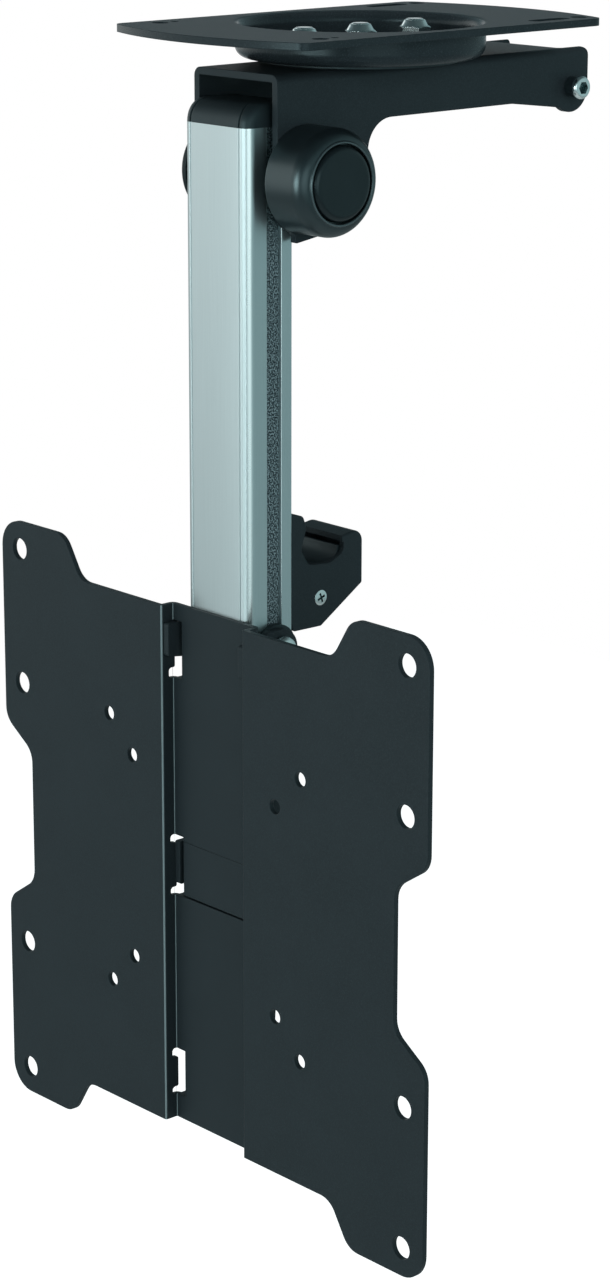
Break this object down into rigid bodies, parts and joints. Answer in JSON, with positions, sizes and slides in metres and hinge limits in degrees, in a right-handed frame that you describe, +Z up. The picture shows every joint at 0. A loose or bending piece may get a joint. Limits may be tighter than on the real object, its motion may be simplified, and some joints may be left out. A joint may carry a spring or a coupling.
{
  "type": "tv ceiling mount",
  "caption": "Folding ceiling mount for a flat screen: dished swivel plate, folding channel bracket, aluminium arm with a latch, and a tilting screen plate with standard hole patterns.",
  "frame": {"origin": "top face of the ceiling plate, at the centre of its four round bolt holes", "axes": "+Z up to the ceiling; +Y back along the folding bracket, so the screen faces -Y; +X is the side with the deep round hinge cover"},
  "size_m": [0.2206, 0.167, 0.3993],
  "materials": {
    "powder_coat": "fine textured powder coat",
    "aluminium": "satin anodised",
    "black_plastic": "fine grained",
    "cover_plastic": "satin",
    "zinc": "bright zinc plated",
    "cast_metal": "satin"
  },
  "bodies": {
    "ceiling": {"ceiling_plate": "powder_coat"},
    "bracket": {"folding_bracket": "powder_coat", "swivel_bolt": "zinc", "swivel_washer": "zinc", "swivel_nut": "zinc", "guide_bolts": "zinc", "guide_washers": "zinc", "guide_nuts": "zinc", "swivel_glide": "black_plastic", "hinge_bolt": "zinc", "hinge_washer": "zinc", "hinge_nut": "zinc", "hinge_discs": "black_plastic", "hinge_cover": "cover_plastic", "hinge_cover_disc": "cover_plastic", "hinge_low_cap": "cover_plastic", "catch_bolt": "zinc", "catch_collar": "black_plastic", "catch_roller": "black_plastic", "catch_nut": "zinc"},
    "arm": {"arm_profile": "aluminium", "arm_cap": "black_plastic", "side_strips": "black_plastic", "hinge_block": "cast_metal", "arm_pins": "zinc", "tilt_block": "cast_metal", "latch_saddle": "black_plastic", "saddle_screws": "zinc", "latch_pivot": "zinc", "latch_nut": "zinc", "latch_spring": "zinc"},
    "latch": {"latch_lever": "powder_coat"},
    "screen_head": {"tilt_bracket": "powder_coat", "tilt_bolt": "zinc", "tilt_nut": "zinc", "tilt_discs": "black_plastic", "screen_plate": "powder_coat", "lock_plate": "powder_coat", "lock_rivets": "zinc"}
  },
  "joints": [
    {"name": "swivel", "type": "hinge", "parent": "ceiling", "child": "bracket", "pos_m": [0, -0.0052, 0], "axis": [0, 0, 1], "range_deg": [-45, 45]},
    {"name": "fold", "type": "hinge", "parent": "bracket", "child": "arm", "pos_m": [0, -0.0487, -0.047], "axis": [1, 0, 0], "range_deg": [0, 90]},
    {"name": "latch", "type": "hinge", "parent": "arm", "child": "latch", "pos_m": [0, -0.0333, -0.1927], "axis": [-1, 0, 0], "range_deg": [0, 20], "stiffness_Nm_per_rad": 0.15, "springref_deg": -20.05},
    {"name": "tilt", "type": "hinge", "parent": "arm", "child": "screen_head", "pos_m": [0, -0.0588, -0.2048], "axis": [1, 0, 0], "range_deg": [0, 15]}
  ]
}
